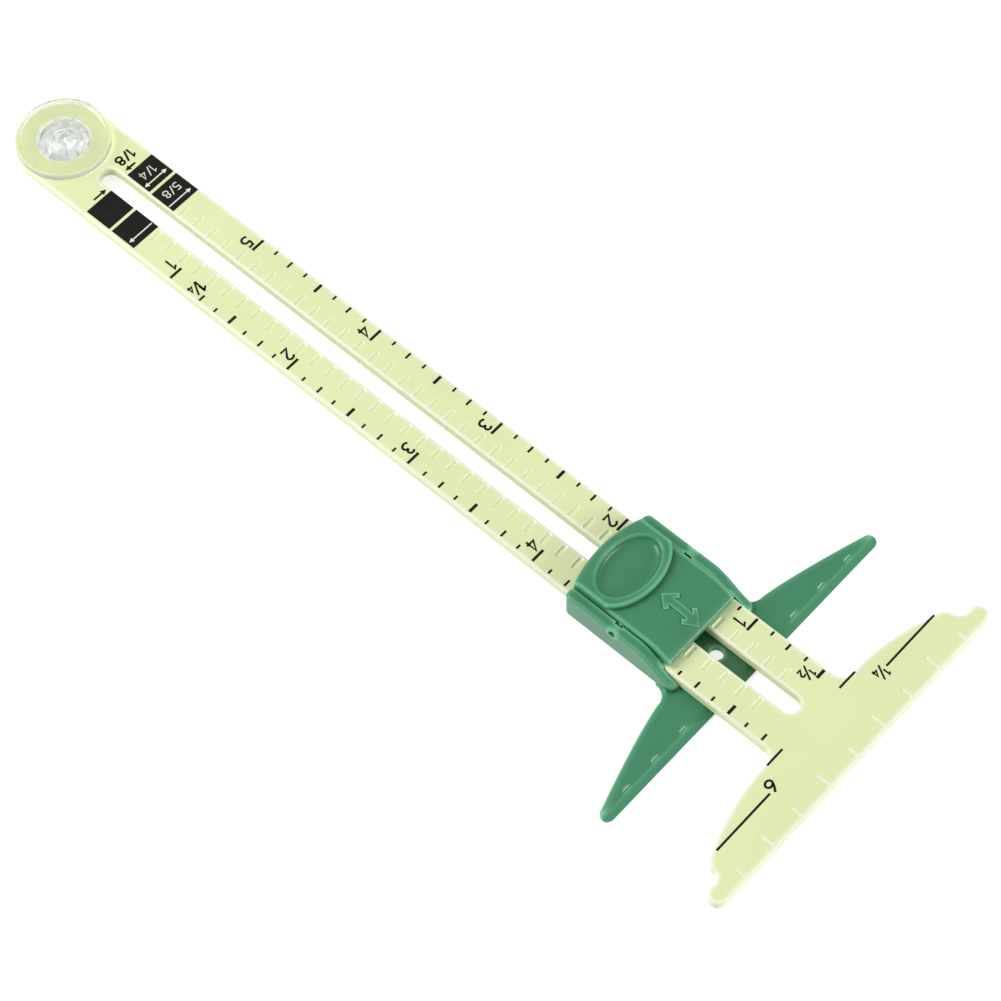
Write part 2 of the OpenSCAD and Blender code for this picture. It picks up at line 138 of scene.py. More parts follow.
class SliderSettings(PropertyGroup):
    floor_t: length("Floor thickness", "Thickness of the floor and the wings", 1.3)
    wall_t: length("Wall thickness", "Thickness of a side wall below its lip", 1.4)
    wall_y: length("Wall face", "Distance from the middle to a wall's outer face", 9.5)
    lip_y: length("Lip", "Distance from the middle to the edge of a wall's lip", 7.55)
    lip_z: length("Lip height", "Height of the underside of a wall's lip", 3.5)
    wall_front: length("Wall front", "Distance from the measuring edge to the walls", 6.5)
    wall_end: length("Wall end", "Height of the walls' low front end", 2.5)
    wall_slope: length("Wall slope", "Length over which the walls fall", 8)
    corner_r: length("Rear corners", "Radius of the frame's rear corners", 1.2)
    keel_r: length("Keel radius", "Radius of the outer lower edges", 1.1)
    nose_r: length("Nose radius", "Rounding of a wall's front end", 0.9)
    wing_root: length("Wing root", "Depth of a wing at its root", 7.2)
    wing_fillet: length("Wing fillet", "Radius between a wing and its wall", 2.5)
    wing_tip_r: length("Wing tip", "Radius of a wing's tip", 1.2)
    wing_edge: length("Wing edge", "Rounding of a wing's rear edge", 0.85)
    bevel_w: length("Bevel width", "Width of the bevel on the measuring edge", 1.7)
    bevel_t: length("Bevel edge", "Thickness left at the measuring edge", 0.5)
    under_w: length("Lower bevel", "Width of the bevel under the measuring edge", 0.6)
    mark_w: length("Notch width", "Width of a notch on a wing", 1.3)
    mark_d: length("Notch depth", "Depth of a notch on a wing", 0.32)
    mark_pitch: length("Notch spacing", "Spacing of the notches on a wing", 6.35)
    pen_r: length("Pencil hole", "Radius of the pencil hole", 1.15)
    pen_inset: length("Pencil inset", "From the measuring edge to the pencil hole", 6)
    bore_r: length("Pivot bore", "Radius of the bores for the lever's stubs", 0.68)
    pivot_back: length("Pivot", "From the slider's measuring edge to the pivot", 18.4)
    pivot_z: length("Pivot height", "Height of the pivot above the table", 4.9)


class LeverSettings(PropertyGroup):
    side_y: length("Side", "Distance from the middle to the lever's side", 7.45)
    plate_z: length("Plate height", "Height of the lever's plate", 6.3)
    under_z: length("Underside", "Height of the underside in front of the pivot", 3.7)
    rear_z: length("Rear underside", "Height of the underside at the rear edge", 4.85)
    front_z: length("Front edge", "Height of the top of the front edge", 4.7)
    front_fall: length("Front fall", "Length over which the plate curves down", 4.5)
    edge_round: length("Edge rounding", "Radius along the lever's edges", 0.24)
    rear_r: length("Rear curve", "Radius of the rear edge, seen from above", 21.5)
    crown_r: length("Crown radius", "Radius on top of the rear edge", 1.2)
    pad_a: length("Pad reach", "Reach of the pad in front of the dimple's middle", 5.1)
    pad_b: length("Pad half width", "Half width of the pad's rounded front", 8)
    dimple_back: length("Dimple", "From the measuring edge to the dimple's middle", 23.3)
    dimple_a: length("Dimple half length", "Half of the dimple's length", 3.85)
    dimple_b: length("Dimple half width", "Half of the dimple's width", 6.1)
    dimple_d: length("Dimple depth", "Depth of the thumb dimple", 1.2)
    arrow_back: length("Arrow", "From the measuring edge to the arrow's middle", 13.25)
    arrow_len: length("Arrow length", "Length of the raised arrow", 7.5)
    arrow_h: length("Arrow height", "Height of the raised arrow", 0.2)
    barb_len: length("Barb length", "Length of one side of an arrowhead", 2.7)
    barb_w: length("Barb width", "Width of the strokes of the arrowheads", 0.8)
    shaft_w: length("Shaft width", "Width of the arrow's shaft", 1.25)
    stub_r: length("Stub radius", "Radius of a pivot stub", 0.55)
    tooth_back: length("Teeth", "From the measuring edge back to the teeth", 11.5)
    tooth_r: length("Tooth radius", "Radius of a detent tooth", 0.35)
    leaf_t: length("Spring thickness", "Thickness of the bowed leaf", 0.25)
    leaf_sink: length("Spring sink", "How far the leaf is pressed below its free height", 0.7)


class ButtonSettings(PropertyGroup):
    hub_r: length("Hub radius", "Radius of the hub that turns in the ruler", 3.95)
    pin_r: length("Pin hole", "Radius of the pin hole", 0.65)
    dome_r: length("Dome radius", "Radius of the low dome over the hub", 4.4)
    core_r: length("Core radius", "Radius of the tube round the pin hole", 1.95)
    ring_r: length("Ring bore", "Inner radius of the split ring", 3.05)
    lip_r: length("Snap lip", "Radius of the snap lip under the ruler", 4.4)
    lip_z: length("Lip height", "Height of the top of the snap lip", 1.32)
    disc_z: length("Disc height", "Height of the underside of the disc", 3.48)
    rim_z: length("Rim height", "Height of the disc's rim", 4.9)
    rim_w: length("Rim width", "Width of the raised rim", 0.8)
    dish_d: length("Dish depth", "Depth of the dish inside the rim", 0.4)
    split_w: length("Split", "Width of the slots that split the ring", 0.8)


class PrintSettings(PropertyGroup):
    ink_t: length("Ink", "Thickness of the printed ink", 0.02)
    digit_h: length("Digit height", "Height of the numbers on the scales", 2.2)
    digit_w: length("Digit stroke", "Width of a number's strokes", 0.38)
    upper_y: length("Upper marks", "Outer end of the upper scale's marks", 7.54)
    lower_y: length("Lower marks", "Outer end of the lower scale's marks", 7.36)
    zero_x: length("Zero", "Distance from the pin axis to the lower scale's zero", 6)


class FinishSettings(PropertyGroup):
    lime: paint("Lime", "Colour of the ruler", 228, 236, 180)
    green: paint("Green", "Colour of the slider and its lever", 58, 133, 94)
    # The two edge colours are painted light, standing in for light that thin plastic lets through
    # near raised edges
    lime_edge: paint("Lime edge light", "Colour of the ruler along its edges", 254, 255, 248)
    green_edge: paint("Green edge light", "Colour of the slider along its edges", 118, 198, 153)
    # Painted shade: this colour darkens the slider's floor where the rails cover it
    floor_shade: paint("Floor shade", "Tint of the slider's floor under the rails", 230, 208, 188)
    clear: paint("Clear", "Tint of the button", 227, 229, 214)
    cloud: paint("Cloud", "Tint of the button over its hub and along its rim", 241, 244, 242)
    ink: paint("Ink", "Colour of the printed marks", 20, 22, 18)
    white: paint("White print", "Colour of the print on the dark blocks", 232, 238, 222)
    steel: paint("Steel", "Colour of the bowed leaf", 190, 194, 198)
    key: FloatProperty(name="Key light", description="Power of the low key light",
                       default=5.35, min=0, unit="POWER")
    sky: FloatProperty(name="Sky", description="Strength of the even light from above",
                       default=0.45, min=0)


class GaugeSettings(PropertyGroup):
    ruler: PointerProperty(type=RulerSettings)
    slider: PointerProperty(type=SliderSettings)
    lever: PointerProperty(type=LeverSettings)
    button: PointerProperty(type=ButtonSettings)
    print: PointerProperty(type=PrintSettings)
    finish: PointerProperty(type=FinishSettings)


# Outlines

def arc(x, y, r, start, end, steps=12):
    """Points on an arc about (x, y), from one angle in degrees to another."""
    return oval(x, y, r, r, start, end, steps)


def oval(x, y, rx, ry, start, end, steps=12):
    """Points on an ellipse about (x, y), from one angle in degrees to another."""
    turns = [radians(start + (end - start) * i / steps) for i in range(steps + 1)]
    return [(x + rx * cos(t), y + ry * sin(t)) for t in turns]


def bow(start, end, power_x, power_y, steps=16):
    """A curve between two points whose x and y run by the given powers."""
    shares = [i / steps for i in range(steps + 1)]
    return [(start[0] + (end[0] - start[0]) * t ** power_x,
             start[1] + (end[1] - start[1]) * t ** power_y) for t in shares]


def both_sides(side):
    """One side's points and their mirror image, as one closed outline."""
    return side + [(x, -y) for x, y in reversed(side)]


def loop(points):
    """A closed outline without points that lie on each other."""
    kept = []
    for point in points:
        if not kept or (Vector(point) - Vector(kept[-1])).length > SAME_POINT:
            kept.append(point)
    if (Vector(kept[0]) - Vector(kept[-1])).length < SAME_POINT:
        kept.pop()
    return kept


# Modelling

def only(piece):
    """Select one piece alone and make it active."""
    if bpy.context.mode != "OBJECT":
        bpy.ops.object.mode_set(mode="OBJECT")
    bpy.ops.object.select_all(action="DESELECT")
    bpy.context.view_layer.objects.active = piece
    piece.select_set(True)


def edit_all():
    """Open the active piece in edit mode with all of it selected."""
    bpy.ops.object.mode_set(mode="EDIT")
    bpy.ops.mesh.select_all(action="SELECT")


def weld():
    """Merge the doubles of the mesh in edit mode."""
    bpy.ops.mesh.select_all(action="SELECT")
    bpy.ops.mesh.remove_doubles(threshold=SAME_VERTEX)
    bpy.ops.mesh.select_all(action="SELECT")


def close_up():
    """Turn all faces of the mesh in edit mode outwards and leave edit mode."""
    bpy.ops.mesh.select_all(action="SELECT")
    bpy.ops.mesh.normals_make_consistent(inside=False)
    bpy.ops.object.mode_set(mode="OBJECT")


def move_points(name, points):
    """Name the newest primitive and move its vertices to the given points."""
    piece = bpy.context.object
    piece.name = piece.data.name = name
    for vertex, point in zip(piece.data.vertices, points):
        vertex.co = point
    return piece


def add_outline(name, points, fill="NGON"):
    """A circle that is reshaped to run through the given points."""
    bpy.ops.object.select_all(action="DESELECT")
    bpy.ops.mesh.primitive_circle_add(vertices=len(points), radius=1, fill_type=fill)
    return move_points(name, points)


def add_sheet(name, rows):
    """A grid that is reshaped to run through rows of points."""
    bpy.ops.object.select_all(action="DESELECT")
    bpy.ops.mesh.primitive_grid_add(x_subdivisions=len(rows[0]) - 1,
                                    y_subdivisions=len(rows) - 1)
    return move_points(name, [point for row in rows for point in row])


def add_plate(name, outline, low, high, side_view=False):
    """A plate with the given outline, drawn up in Z, or across in Y for a side view."""
    plate = add_outline(name, [(a, low, b) if side_view else (a, b, low)
                               for a, b in loop(outline)])
    rise = (0, high - low, 0) if side_view else (0, 0, high - low)
    edit_all()
    bpy.ops.mesh.extrude_region_move(TRANSFORM_OT_translate={"value": rise})
    close_up()
    return plate


def add_loft(name, rings):
    """A closed solid through rings that have the same number of points."""
    solid = add_sheet(name, [ring + ring[:1] for ring in rings])
    edit_all()
    weld()
    bpy.ops.mesh.fill_holes(sides=0)
    close_up()
    return solid


def add_box(name, low, high):
    """A box between two corners, as a cutter or a blank."""
    return add_plate(name, [(low[0], low[1]), (high[0], low[1]), (high[0], high[1]),
                            (low[0], high[1])], low[2], high[2])


def add_bar(name, x, z, r, y0, y1, ease=0):
    """A round bar across the gauge, with eased ends."""
    bpy.ops.object.select_all(action="DESELECT")
    bpy.ops.mesh.primitive_cylinder_add(vertices=24, radius=r, depth=y1 - y0,
                                        location=(x, (y0 + y1) / 2, z), rotation=(pi / 2, 0, 0))
    bar = bpy.context.object
    bar.name = bar.data.name = name
    bpy.ops.object.transform_apply(location=True, rotation=True, scale=True)
    if ease:
        round_edges(bar, rim("y", True), ease)
    return bar


def rim(axis, both=False):
    """A test for the edges round a piece's far end along an axis, or round both ends."""
    def chosen(edge):
        lies = [getattr(face.normal, axis) for face in edge.link_faces]
        first, second = ((abs(share) if both else share) > FLAT for share in lies)
        return first != second
    return chosen


def round_edges(piece, chosen, width, segments=3):
    """Round the chosen edges of a piece."""
    only(piece)
    bpy.ops.object.mode_set(mode="EDIT")
    bpy.ops.mesh.select_mode(type="EDGE")
    bpy.ops.mesh.select_all(action="DESELECT")
    mesh = bmesh.from_edit_mesh(piece.data)
    for edge in mesh.edges:
        if len(edge.link_faces) == 2 and chosen(edge):
            edge.select_set(True)
    bmesh.update_edit_mesh(piece.data)
    bpy.ops.mesh.bevel(offset=width, segments=segments, profile=0.5, affect="EDGES")
    bpy.ops.object.mode_set(mode="OBJECT")


def apply(piece, kind, **values):
    """Add a modifier to a piece and apply it."""
    only(piece)
    modifier = piece.modifiers.new(kind.title(), kind)
    for key, value in values.items():
        setattr(modifier, key, value)
    bpy.ops.object.modifier_apply(modifier=modifier.name)
    if not piece.data.polygons:
        raise RuntimeError(f"{piece.name} lost its faces in {kind}")


def resize(piece, factor):
    """Scale a piece's mesh about the origin."""
    only(piece)
    piece.scale = (factor, factor, factor)
    bpy.ops.object.transform_apply(location=False, rotation=False, scale=True)


def combine(piece, tool, operation="DIFFERENCE"):
    """Cut a piece with a tool, or unite or intersect the two, and remove the tool.

    The work is done a thousand times larger, because the modifier loses small faces.
    """
    resize(piece, 1 / MM)
    resize(tool, 1 / MM)
    apply(piece, "BOOLEAN", object=tool, operation=operation, solver="EXACT")
    bpy.data.objects.remove(tool)
    resize(piece, MM)


def join(name, pieces):
    """Join pieces into one object."""
    only(pieces[0])
    for piece in pieces[1:]:
        piece.select_set(True)
    bpy.ops.object.join()
    pieces[0].name = pieces[0].data.name = name
    return pieces[0]


def mirror(piece):
    """Repeat a piece across the gauge's middle."""
    apply(piece, "MIRROR", use_axis=(False, True, False), use_mirror_merge=False)
    only(piece)
    bpy.ops.object.mode_set(mode="EDIT")
    close_up()


def finish(piece, body, slot, look, *nodes):
    """Shade a finished piece, give it its look and parent it to its body."""
    only(piece)
    bpy.ops.object.shade_smooth_by_angle(angle=SMOOTH_ANGLE)
    apply(piece, "WEIGHTED_NORMAL", keep_sharp=True, weight=60)
    piece.data.materials.clear()
    piece.data.materials.append(surface(look))
    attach(piece, body)
    if nodes:
        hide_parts(*nodes)


# Printed strokes

def mm(*numbers):
    """Numbers in millimetres, in the scene's unit."""
    return [number * MM for number in numbers]


def add_stroke(points, width, height):
    """A flat band along a line of points. A line that ends where it starts is a ring."""
    points = [Vector(p) for p in points]
    ring = (points[0] - points[-1]).length < SAME_POINT
    rows = [], []
    for i, point in enumerate(points):
        before = points[i - 1] if i else points[-2] if ring else None
        after = points[i + 1] if i < len(points) - 1 else points[1] if ring else None
        runs = [(b - a).normalized() for a, b in ((before, point), (point, after)) if a and b]
        along = sum(runs, Vector((0, 0))).normalized()
        reach = width / 2 / max(0.6, along.dot(runs[0]))
        for row, hand in zip(rows, (-1, 1)):
            x, y = point + hand * reach * Vector((-along.y, along.x))
            row.append((x, y, height))
    return add_sheet("stroke", rows)


def add_print(name, bands, thickness):
    """Join flat bands into one print and give it the thickness of ink."""
    ink = join(name, bands)
    edit_all()
    weld()
    bpy.ops.mesh.extrude_region_move(TRANSFORM_OT_translate={"value": (0, 0, thickness)})
    close_up()
    return ink


# How much wider the signs are drawn, and the gap between two of them on a height of 1
WIDE, GAP = 1.2, 0.18

# Each sign as its width and its strokes, on a height of 1
SIGNS = {
    "1": (0.3, [[(0.03, 0.76), (0.26, 0.97), (0.26, 0)]]),
    "2": (0.52, [arc(0.26, 0.73, 0.22, 168, -38) + [(0.04, 0.05), (0.52, 0.05)]]),
    "3": (0.5, [arc(0.24, 0.74, 0.2, 150, -90), arc(0.24, 0.29, 0.25, 90, -150)]),
    "4": (0.56, [[(0.4, 0), (0.4, 0.95), (0.03, 0.27), (0.56, 0.27)]]),
    "5": (0.52, [[(0.47, 0.95), (0.13, 0.95), (0.09, 0.53)], arc(0.25, 0.31, 0.26, 128, -145)]),
    "6": (0.54, [arc(0.27, 0.29, 0.24, 0, 360, 20), [(0.4, 0.97), (0.2, 0.7), (0.06, 0.42)]]),
    "8": (0.52, [arc(0.26, 0.74, 0.19, 0, 360, 20), arc(0.26, 0.29, 0.24, 0, 360, 20)]),
    "/": (0.36, [[(0, -0.02), (0.36, 1.02)]]),
}


def write(text, x, y, height, stroke, level):
    """Bands for a row of signs with its foot at x, read towards -Y from y."""
    bands = []
    for sign in text:
        width, lines = SIGNS[sign]
        for line in lines:
            points = [(x + v * height, y - WIDE * u * height) for u, v in line]
            bands.append(add_stroke(points, stroke, level))
        y -= (WIDE * width + GAP) * height
    return bands


def row_width(text, height):
    """Width of a row of signs."""
    return (WIDE * sum(SIGNS[sign][0] for sign in text) + GAP * (len(text) - 1)) * height


def write_fraction(top, bottom, x, y, height, stroke, level):
    """A small fraction with a slanted bar, centred on y, with its foot at x."""
    small = 0.56 * height
    bands = write(top, x + height - small, y + 0.46 * height, small, stroke * 0.85, level)
    bands += write(bottom, x, y - 0.1 * height, small, stroke * 0.85, level)
    bands.append(add_stroke([(x, y + 0.3 * height), (x + height, y - 0.24 * height)],
                            stroke * 0.8, level))
    return bands


def draw_arrow(x, tail, tip, stroke, head, level, double=False):
    """Bands for an arrow along Y, with its head or both heads filled."""
    way, half = 1 if tip > tail else -1, 0.54 * head
    near = tail + way * head if double else tail
    bands = [add_stroke([(x, near), (x, tip - way * head)], stroke, level)]
    for point, side in ((tip, way), (tail, -way))[:2 if double else 1]:
        foot = point - side * head
        bands.append(add_outline("arrowhead", [(x, point, level), (x - half, foot, level),
                                               (x + half, foot, level)]))
    return bands


# Materials

def add_node(tree, kind, values=None, **settings):
    """A shader node, with a number, a colour or another node's socket for each input."""
    node = tree.nodes.new("ShaderNode" + kind)
    for key, value in settings.items():
        setattr(node, key, value)
    for key, value in (values or {}).items():
        if isinstance(value, NodeSocket):
            tree.links.new(value, node.inputs[key])
        else:
            node.inputs[key].default_value = value
    return node


def add_place(tree):
    """The object coordinates."""
    return add_node(tree, "TexCoord").outputs["Object"]


def add_ramp(tree, value, low, high, start=0, end=1):
    """A value that runs from start to end as another one passes from low to high."""
    return add_node(tree, "MapRange", {"Value": value, "From Min": low, "From Max": high,
                                       "To Min": start, "To Max": end}).outputs["Result"]


def add_math(tree, operation, *values):
    """What an operation makes of numbers and sockets."""
    return add_node(tree, "Math", dict(enumerate(values)), operation=operation).outputs["Value"]


def add_mix(tree, factor, first, second, kind="RGBA", way="MIX"):
    """A mix of two colours, or of two numbers where the kind is FLOAT."""
    return add_node(tree, "Mix", {"Factor": factor, "A": first, "B": second},
                    data_type=kind, blend_type=way).outputs["Result"]


def rework(tree, key, change):
    """Change what feeds an input of a material's shader."""
    socket = tree.nodes["Principled BSDF"].inputs[key]
    tree.links.new(change(socket.links[0].from_socket), socket)


def new_group(name, inputs, outputs):
    """A node group with sockets of each kind, its inner inputs and its inner outputs."""
    group = bpy.data.node_groups.new(name, "ShaderNodeTree")
    for way, kinds in (("INPUT", inputs), ("OUTPUT", outputs)):
        for kind, keys in kinds.items():
            for key in keys:
                group.interface.new_socket(key, in_out=way, socket_type=f"NodeSocket{kind}")
    start, end = (group.nodes.new(f"NodeGroup{side}") for side in ("Input", "Output"))
    return group, start.outputs, end.inputs


def moulded_group():
    """Faint clouds and a fine skin of moulded plastic, as a node group."""
    name = "moulded_skin"
    if name in bpy.data.node_groups:
        return bpy.data.node_groups[name]
    group, given, wanted = new_group(
        name, {"Vector": ["Vector"], "Color": ["Color A", "Color B"],
               "Float": ["Cloud Scale", "Skin Scale", "Smooth", "Rough"]},
        {"Color": ["Color"], "Float": ["Roughness", "Height"]})
    clouds, skin = (
        add_node(group, "TexNoise", {"Vector": given["Vector"], "Scale": given[scale],
                                     "Detail": detail}).outputs["Fac"]
        for scale, detail in (("Cloud Scale", 3), ("Skin Scale", 2)))
    colour = add_mix(group, add_ramp(group, clouds, 0.35, 0.65), given["Color A"],
                     given["Color B"])
    gloss = add_ramp(group, skin, 0.3, 0.7, given["Smooth"], given["Rough"])
    for key, value in (("Color", colour), ("Roughness", gloss), ("Height", skin)):
        group.links.new(value, wanted[key])
    return group


def edge_group():
    """Painted light near raised edges and painted shade in hollows, as a node group."""
    name = "pale_edge"
    if name in bpy.data.node_groups:
        return bpy.data.node_groups[name]
    group, given, wanted = new_group(
        name, {"Color": ["Color", "Edge Color"], "Float": ["Reach", "Amount", "Depth"]},
        {"Color": ["Color"], "Float": ["Hollow"]})
    near = add_node(group, "AmbientOcclusion", {"Distance": given["Reach"]},
                    inside=True, only_local=True, samples=16)
    sunk = add_node(group, "AmbientOcclusion", {"Distance": 1.5 * MM},
                    only_local=True, samples=8)
    hollow = add_math(group, "MULTIPLY", given["Depth"],
                      add_ramp(group, sunk.outputs["AO"], 0.9, 0.5))
    # Painted shade: a darker colour in hollows, where the ambient occlusion finds them
    painted_shade = add_mix(group, hollow, given["Color"], (0.42, 0.42, 0.44, 1), way="MULTIPLY")
    # Painted light: a paler colour near raised edges, where the inside ambient occlusion finds
    # thin plastic
    painted_light_mask = add_ramp(group, near.outputs["AO"], 0.95, 0.62, 0, given["Amount"])
    group.links.new(hollow, wanted["Hollow"])
    group.links.new(add_mix(group, painted_light_mask, painted_shade, given["Edge Color"]), wanted["Color"])
    return group


def add_pale_edges(tree, colour, reach, amount):
    """Paint light into a material's colour along raised edges, where thin plastic lets light
    through.
    """
    edge = add_node(tree, "Group", {"Edge Color": (*colour, 1), "Reach": reach,
                                    "Amount": amount}, node_tree=edge_group())

    def lighten(base):
        tree.links.new(base, edge.inputs["Color"])
        return edge.outputs["Color"]

    rework(tree, "Base Color", lighten)
    return edge


def lime_edges(tree, gauge):
    """Painted light along the edges all over the ruler."""
    add_pale_edges(tree, gauge.finish.lime_edge, 0.8 * MM, 1)


def green_shades(tree, gauge):
    """Painted light along edges, painted shade in hollows, and painted shade on the floor where
    the rails cover the slider's.
    """
    s, slider = gauge.finish, gauge.slider
    edge = add_pale_edges(tree, s.green_edge, 0.85 * MM, 0.85)
    rework(tree, "Roughness",
           lambda rough: add_mix(tree, edge.outputs["Hollow"], rough, 0.7, "FLOAT"))
    place = add_node(tree, "SeparateXYZ", {"Vector": add_place(tree)}).outputs
    away = add_math(tree, "ABSOLUTE", place["Y"])
    walls = away, slider.wall_y, slider.wall_y + 2 * MM
    bevel = FRAME_HIGH.x - slider.bevel_w
    bevels = place["X"], bevel + 0.2 * MM, bevel + 0.8 * MM
    # Out on the wings the painted light reaches further and the painted shade fades out; on the
    # measuring bevel the painted light fades
    for key, where, start, end in (("Reach", walls, 0.85 * MM, 1.2 * MM),
                                   ("Depth", walls, 0.75, 0), ("Amount", bevels, 0.85, 0.1)):
        tree.links.new(add_ramp(tree, *where, start, end), edge.inputs[key])
    # Painted shade on the slider's floor under the rails
    level = add_math(tree, "COMPARE", place["Z"], slider.floor_t - 0.4 * MM, 0.5 * MM)
    shaded_floor_mask = add_math(tree, "MULTIPLY", add_math(tree, "LESS_THAN", away, slider.lip_y), level)
    rework(tree, "Base Color", lambda base: add_mix(tree, shaded_floor_mask, base,
                                                    (*s.floor_shade, 1), way="MULTIPLY"))


def clear_hub(tree, gauge):
    """Clouds and facets over the button's hub, a frosted rim and a light shadow."""
    flat = add_node(tree, "VectorMath", {0: add_place(tree), 1: (1, 1, 0)},
                    operation="MULTIPLY").outputs["Vector"]
    far = add_node(tree, "VectorMath", {0: flat}, operation="LENGTH").outputs["Value"]
    dome, outer = gauge.button.dome_r, BUTTON_HIGH.x
    middle = add_ramp(tree, far, dome + 0.1 * MM, dome - 0.3 * MM)
    rim_mask = add_ramp(tree, far, outer - 0.5 * MM, outer - 0.1 * MM)
    milky = add_math(tree, "MAXIMUM", middle, rim_mask)
    frost = add_math(tree, "MAXIMUM", add_math(tree, "MULTIPLY", middle, 0.55), rim_mask)
    rework(tree, "Base Color",
           lambda base: add_mix(tree, milky, base, (*gauge.finish.cloud, 1)))
    rework(tree, "Roughness", lambda rough: add_mix(tree, frost, rough, 0.35, "FLOAT"))
    facets = add_node(tree, "TexVoronoi", {"Scale": 620, "Vector": add_place(tree)})
    height = add_math(tree, "MULTIPLY", facets.outputs["Distance"], middle)
    rework(tree, "Normal", lambda normal: add_node(
        tree, "Bump", {"Distance": 0.34 * MM, "Height": height, "Normal": normal}
    ).outputs["Normal"])
    shadow = add_node(tree, "LightPath").outputs["Is Shadow Ray"]
    tree.links.new(add_ramp(tree, shadow, 0, 1, 1, 0.3),
                   tree.nodes["Principled BSDF"].inputs["Alpha"])


# Each look as its colour setting, the scales of its clouds and its skin, its least and most
# roughness, the spread of its colour, the height of its skin, the values on its shader's own
# sockets, and what adds its details, such as painted light and painted shade
LOOKS = {
    "Lime plastic": ("lime", 55, 2600, 0.33, 0.38, 0.02, 0.05, {}, lime_edges),
    "Green plastic": ("green", 130, 2600, 0.25, 0.27, 0.04, 0.015,
                      {"Specular IOR Level": 0.4}, green_shades),
    "Clear plastic": ("clear", 220, 1400, 0.02, 0.06, 0.02, 0.05,
                      {"Transmission Weight": 0.84, "IOR": 1.36}, clear_hub),
    "Printing ink": ("ink", 400, 6000, 0.4, 0.55, 0.25, 0.2, {"Specular IOR Level": 0.12}, None),
    "White print": ("white", 400, 6000, 0.4, 0.55, 0.06, 0.2, {}, None),
    "Spring steel": ("steel", 200, 3000, 0.22, 0.36, 0.08, 0.2, {"Metallic": 1}, None),
}


def surface(name):
    """The material of a look, built the first time that it is asked for."""
    if name in bpy.data.materials:
        return bpy.data.materials[name]
    setting, clouds, skin, smooth, rough, spread, bump, values, add_details = LOOKS[name]
    gauge = bpy.context.scene.gauge
    material = bpy.data.materials.new(name)
    material.use_nodes = True
    tree = material.node_tree
    light, dark = ([min(1, channel * share) for channel in getattr(gauge.finish, setting)] + [1]
                   for share in (1 + spread, 1 - spread))
    texture = add_node(tree, "Group", {
        "Vector": add_place(tree), "Cloud Scale": clouds, "Skin Scale": skin,
        "Smooth": smooth, "Rough": rough, "Color A": dark, "Color B": light,
    }, node_tree=moulded_group()).outputs
    relief = add_node(tree, "Bump", {"Strength": bump, "Distance": 0.05 * MM,
                                     "Height": texture["Height"]})
    inputs = tree.nodes["Principled BSDF"].inputs
    for key, value in values.items():
        inputs[key].default_value = value
    for key, value in (("Base Color", texture["Color"]), ("Roughness", texture["Roughness"]),
                       ("Normal", relief.outputs["Normal"])):
        tree.links.new(value, inputs[key])
    if add_details:
        add_details(tree, gauge)
    return material


# Pieces

# Land between the slot and the grooves, and what a groove and its lip are eased by
GROOVE_LAND, GROOVE_EASE, LIP_EASE = mm(0.3, 0.28, 0.2)
# How far the ticks start below the ruler's top, and the rounding of their edges
TICK_SINK, TICK_EASE = mm(0.2, 0.1)
# Rounding of a wall's top outside and at its lip, and how much its nose sinks as it narrows
WALL_EASE, WALL_LIP_EASE, NOSE_SINK = 0.45 * MM, 0.2 * MM, 0.55
# Depth of the pits outside the walls, and half the length and the depth of the entries inside
PIT_D, ENTRY_X, ENTRY_D = mm(0.5, 0.7, 0.45)
# The dimple's sections, as shares of its size and of its depth
PAN = ((1.1, -0.1), (1.03, 0.01), (1.006, 0.05), (0.988, 0.14), (0.976, 0.3), (0.955, 0.52),
       (0.91, 0.74), (0.84, 0.87), (0.72, 0.95), (0.5, 0.99), (0.2, 1))
# Room round the leaf in its pocket, and the angle of an arrowhead's sides
POCKET_GAP, BARB_ANGLE = 0.4 * MM, radians(42)


def ruler_outline(s):
    """The ruler from above: round end, rails and T head with its lobes."""
    head_x, half_w = HEAD_HIGH.x, -TAIL_LOW.x
    lobe_x, lobe_y = head_x - s.lobe_r, HEAD_HIGH.y - s.lobe_r
    neck_x = head_x - s.shoulder_depth + s.shoulder_r
    neck_top, reach = lobe_y - s.hollow_w, lobe_x - neck_x
    neck_r = (reach ** 2 + s.hollow_w ** 2 - s.lobe_r ** 2) / (2 * (s.hollow_w + s.lobe_r))
    neck_turn = degrees(atan2(s.hollow_w - neck_r, reach))
    root = (head_x - s.head_depth, half_w + s.head_fillet)
    shoulder = arc(neck_x, neck_top - s.shoulder_r, s.shoulder_r, 90, 158, 8)
    side = arc(lobe_x, lobe_y, s.lobe_r, 0, 180 + neck_turn, 16)
    side += arc(neck_x, neck_top + neck_r, neck_r, neck_turn, -90, 10)
    side += shoulder
    side += list(reversed(bow(root, shoulder[-1], 2, 1, 24)))
    side += arc(root[0] - s.head_fillet, root[1], s.head_fillet, 0, -90, 10)
    side += arc(0, 0, half_w, 90, 180, 32)
    return both_sides(side)


